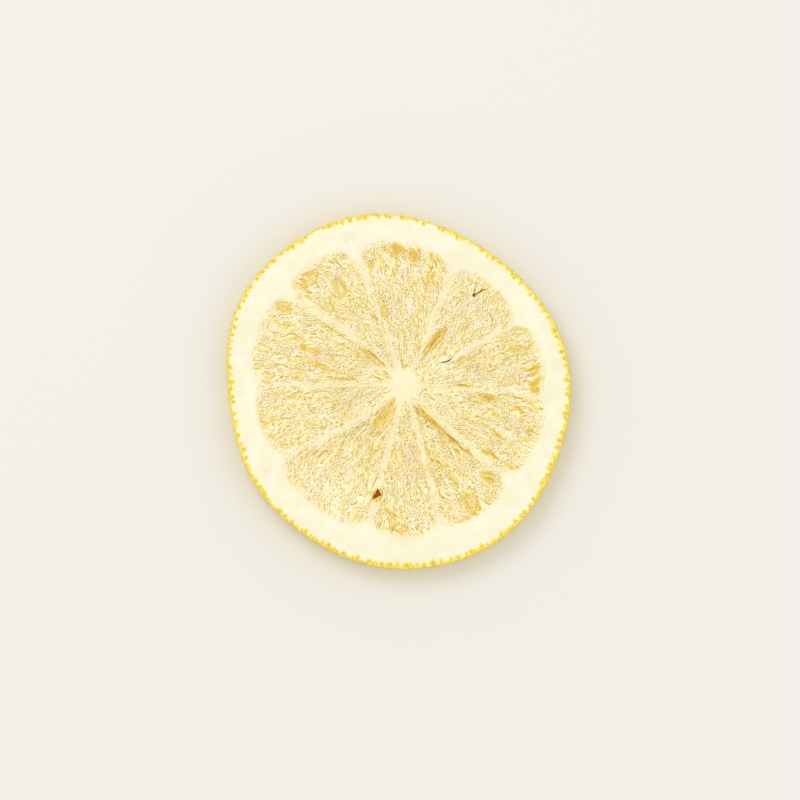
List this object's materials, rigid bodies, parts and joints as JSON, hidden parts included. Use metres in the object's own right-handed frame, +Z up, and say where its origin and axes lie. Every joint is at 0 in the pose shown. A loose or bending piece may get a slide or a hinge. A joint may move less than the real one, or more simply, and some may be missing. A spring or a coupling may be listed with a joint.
{
  "type": "freeze-dried lemon slice",
  "caption": "Round crosswise slice of freeze-dried lemon: thin bumpy rind, wide pale pith ring, radial membranes and core, with dry fibrous pulp sunk between them. It lies flat on a cut face.",
  "frame": {"origin": "middle of the slice's footprint, on the surface it lies on", "axes": "+Z up, across the slice's thickness, out of the cut face that shows; +X to the picture's right and +Y to its top"},
  "size_m": [0.0592, 0.0616, 0.0055],
  "materials": {
    "lemon_pulp": "dry, porous and fibrous pulp with small glints",
    "lemon_pith": "matt, chalky and faintly velvety pith, membranes and core",
    "lemon_rind": "dry waxy rind with a slight sheen and oil glands"
  },
  "bodies": {
    "root": {"lemon_slice": "lemon_pulp"}
  },
  "joints": []
}
